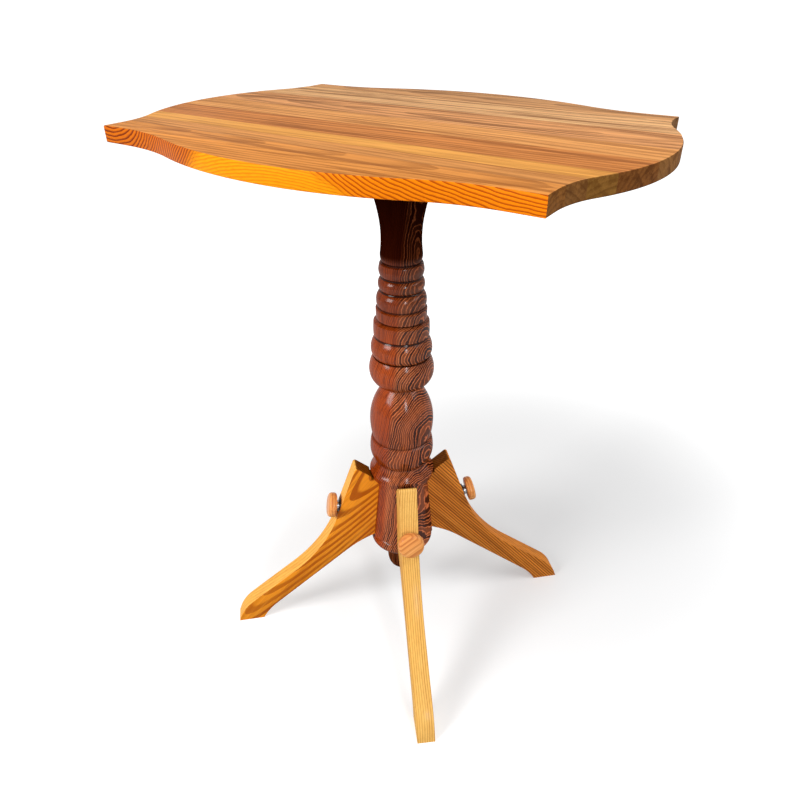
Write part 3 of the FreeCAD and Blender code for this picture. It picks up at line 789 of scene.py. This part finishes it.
# Knob screws: turned heads, and steel stems with a thread and a collar
knobsLook = {
    "headSteps": 48,
    "headShares": ((0, 0.0), (0.8, 0.0), (0.93, 0.05), (0.985, 0.16), (1, 0.3), (1, 0.58), (0.975, 0.76),
                   (0.91, 0.92), (0.8, 1), (0, 1)),
    "headSharpest": math.radians(40),
    "wood": {"early": colour(238, 164, 90), "late": colour(172, 80, 32), "tint": colour(216, 134, 68),
             "pale": colour(255, 204, 134), "pith": (0.03, -0.03), "spacing": 0.0042, "wobble": 2.4,
             "wobbleScale": 20.0, "stretch": 0.25, "contrast": 0.7},
    "stemSteps": 32,
    "stemRadius": 4 * millimetre,
    "pitch": 1.25 * millimetre,
    "threadTurns": 46,
    "threadDepth": 0.6 * millimetre,
    "collarStart": 0.6 * millimetre,
    "collarEase": 0.7 * millimetre,
}
steelLook = {"wearScale": 320.0, "wearShade": 0.72, "wearRoughness": 0.18}


# Start, end and widest radius of a CAD node along an axis
def axisSpan(node, point, axis):
    offsets = [vert.co - point for vert in frame["nodes"][node].data.vertices]
    reaches = [offset.dot(axis) for offset in offsets]
    radii = [(offset - axis * reach).length for offset, reach in zip(offsets, reaches)]
    return min(reaches), max(reaches), max(radii)


def headWood(place, point, axis):
    side = axis.orthogonal().normalized()
    return wood("knob_pine_" + place, origin=tuple(point), grain=tuple(side), across=tuple(axis.cross(side)),
                deep=tuple(axis), **knobsLook["wood"])


def steel(name, tone, roughness):
    material, shader, point = startMaterial(name)
    worn = noise(point, steelLook["wearScale"], detail=4.0, roughness=0.6)
    dull = tuple(part * steelLook["wearShade"] for part in tone[:3]) + (1.0,)
    plug(point.tree, mixed(worn, tone, dull), shader.inputs["Base Color"])
    plug(point.tree, roughness + steelLook["wearRoughness"] * worn, shader.inputs["Roughness"])
    shader.inputs["Metallic"].default_value = 1.0
    return material


brightSteel = steel("bright_steel", colour(150, 148, 150), roughness=0.18)
darkSteel = steel("dark_washer", colour(74, 70, 68), roughness=0.32)


def makeHead(place):
    point, axis = knobAxis(place)
    low, high, radius = axisSpan("knob_head_" + place, point, axis)
    profile = [(radius * share, low + (high - low) * rise) for share, rise in knobsLook["headShares"]]
    form = spun(profile, point, axis, knobsLook["headSteps"])
    setSmooth(form, knobsLook["headSharpest"])
    newPiece("turned_head_" + place, form, [headWood(place, point, axis)], "knob_" + place,
             "knob_head_" + place)


def makeStem(place):
    point, axis = knobAxis(place)
    tip, finish, collar = axisSpan("knob_bolt_" + place, point, axis)
    collarEnd = axisSpan("knob_head_" + place, point, axis)[0]
    collarStart = knobsLook["collarStart"]
    stem, chamfer, pitch = knobsLook["stemRadius"], knobsLook["collarEase"], knobsLook["pitch"]
    profile = [(0.0, tip), (stem - chamfer, tip), (stem, tip + chamfer)]
    for turn in range(knobsLook["threadTurns"]):
        root = tip + chamfer + pitch * (turn + 0.5)
        profile += [(stem - knobsLook["threadDepth"], root), (stem, root + pitch / 2)]
    profile += [(stem, collarStart), (collar - chamfer, collarStart), (collar, collarStart + chamfer),
                (collar, collarEnd - chamfer), (collar - chamfer, collarEnd), (stem, collarEnd),
                (stem, finish), (0.0, finish)]
    form = spun(profile, point, axis, knobsLook["stemSteps"])
    setSmooth(form)
    newPiece("threaded_stem_" + place, form, [brightSteel], "knob_" + place, "knob_bolt_" + place)


def paintNode(node, material):
    frame["nodes"][node].data.materials.clear()
    frame["nodes"][node].data.materials.append(material)


for place in places:
    makeHead(place)
    makeStem(place)
    paintNode("washer_" + place, darkSteel)
print("stage: knob screws ready")

# Hidden fittings keep their CAD form
hiddenLook = {
    "bearer": wood("bearer_pine", origin=(0, 0, 0.72), grain=(0, 1, 0), across=(1, 0, 0),
                   early=colour(206, 164, 110), late=colour(150, 104, 60), tint=colour(190, 144, 92),
                   coat=0.05, roughness=(0.5, 0.65)),
    "tenon_wedge": wood("wedge_pine", origin=(0, 0, 0.7), grain=(0, 0, 1), across=(1, 0, 0), deep=(0, 1, 0),
                        early=colour(210, 170, 116), coat=0.0, roughness=(0.55, 0.7)),
    "leg_dowels": wood("dowel_beech", origin=(0, 0, 0.2), early=colour(222, 190, 146),
                       late=colour(188, 148, 104), spacing=0.0015, coat=0.0, roughness=(0.55, 0.7)),
    "bearer_screws": steel("screw_steel", colour(168, 160, 140), roughness=0.3),
    "bolt_inserts": steel("insert_brass", colour(200, 164, 92), roughness=0.25),
}
for node, material in hiddenLook.items():
    paintNode(node, material)
print("stage: hidden fittings ready")

# Stage: pale floor, soft lights and the photograph's camera
stageLook = {
    "lens": 30.87,
    "place": (0.4412, -0.6725, 0.8899),
    "heading": (-0.550, 0.835),
    "dip": math.radians(31.96),
    "roll": math.radians(-0.315),
    "floorSize": 90.0,
    "floorRoughness": 0.9,
    "paper": (0.6, 0.6, 0.6, 1.0),
    "bounce": (0.3, 0.29, 0.28, 1.0),
    # The floor glows white far away and less near the centre below: a painted shadow pool besides the lamps'
    # own shadows
    "glow": (0.3, 1.0),
    "shadowPoolCentre": (0.1, 0.3, 0.0),
    "whiteFrom": (0.22, 0.95),
    "ambient": 0.22,
    "tableMiddle": (0, 0, 0.4),
    "lights": {
        "leftWindow": {"spot": (-1.15, -2.35, 1.85), "size": (1.25, 1.25), "power": 90},
        "rightWindow": {"spot": (1.9, -1.5, 1.35), "size": (0.26, 0.8), "power": 22,
                        "tone": (0.9, 0.95, 1.0)},
        "overhead": {"spot": (1.9, 0.7, 2.2), "size": (1.8, 1.8), "power": 38},
        "backWindow": {"spot": (-2.6, 1.6, 1.3), "size": (0.7, 0.5), "power": 0.7,
                       "target": (-0.1, 0, 0.75)},
    },
}


def makeCamera():
    data = bpy.data.cameras.new("camera")
    data.lens = stageLook["lens"]
    camera = bpy.data.objects.new("camera", data)
    bpy.context.scene.collection.objects.link(camera)
    heading = Vector((*stageLook["heading"], 0)).normalized()
    gaze = heading * math.cos(stageLook["dip"]) - Vector((0, 0, 1)) * math.sin(stageLook["dip"])
    camera.rotation_mode = "QUATERNION"
    camera.rotation_quaternion = gaze.to_track_quat("-Z", "Y") @ Quaternion((0, 0, 1), stageLook["roll"])
    camera.location = stageLook["place"]
    bpy.context.scene.camera = camera


# One where the camera, a reflection or a view through something looks straight at the background
def backgroundRay(wire):
    camera, glossy, clear = (wire.node("LightPath", {}, {}, ray)
                             for ray in ("Is Camera Ray", "Is Glossy Ray", "Is Transmission Ray"))
    return camera + glossy + clear


def makeWorld():
    world = bpy.data.worlds.new("soft_room")
    world.use_nodes = True
    tree = world.node_tree
    background = tree.nodes["Background"]
    background.inputs["Color"].default_value = (1, 1, 1, 1)
    ambient = stageLook["ambient"]
    seen = backgroundRay(Wire(tree, background.outputs[0]))
    plug(tree, ambient + (1 - ambient) * seen, background.inputs["Strength"])
    bpy.context.scene.world = world


def makeFloor():
    form = bmesh.new()
    bmesh.ops.create_grid(form, x_segments=1, y_segments=1, size=stageLook["floorSize"])
    mesh = bpy.data.meshes.new("floor")
    form.to_mesh(mesh)
    form.free()
    floor = bpy.data.objects.new("floor", mesh)
    bpy.context.scene.collection.objects.link(floor)
    material, shader, point = startMaterial("pale_floor")
    seen = backgroundRay(point)
    far = point.node("VectorMath", {"operation": "DISTANCE"}, {0: point, 1: stageLook["shadowPoolCentre"]}, "Value")
    plug(point.tree, mixed(seen, stageLook["bounce"], stageLook["paper"]), shader.inputs["Base Color"])
    shader.inputs["Roughness"].default_value = stageLook["floorRoughness"]
    shader.inputs["Specular IOR Level"].default_value = 0.0
    # Painted shadow: the glow stays low near the pool's centre and turns the floor white farther out
    glow = seen * smooth(far, *stageLook["whiteFrom"], *stageLook["glow"])
    plug(point.tree, mixed(glow, (0, 0, 0, 1), (1, 1, 1, 1)), shader.inputs["Emission Color"])
    shader.inputs["Emission Strength"].default_value = 1.0
    mesh.materials.append(material)


def makeLight(name, spot, size, power, tone=(1, 1, 1), target=stageLook["tableMiddle"]):
    data = bpy.data.lights.new(name, "AREA")
    data.shape = "RECTANGLE"
    data.size, data.size_y = size
    data.energy = power
    data.color = tone
    light = bpy.data.objects.new(name, data)
    bpy.context.scene.collection.objects.link(light)
    light.location = spot
    light.rotation_mode = "QUATERNION"
    light.rotation_quaternion = (Vector(target) - Vector(spot)).to_track_quat("-Z", "Y")


makeCamera()
makeFloor()
for name, light in stageLook["lights"].items():
    makeLight(name, **light)
makeWorld()
bpy.context.scene.view_settings.view_transform = "Standard"
print("stage: camera, floor and lights ready")
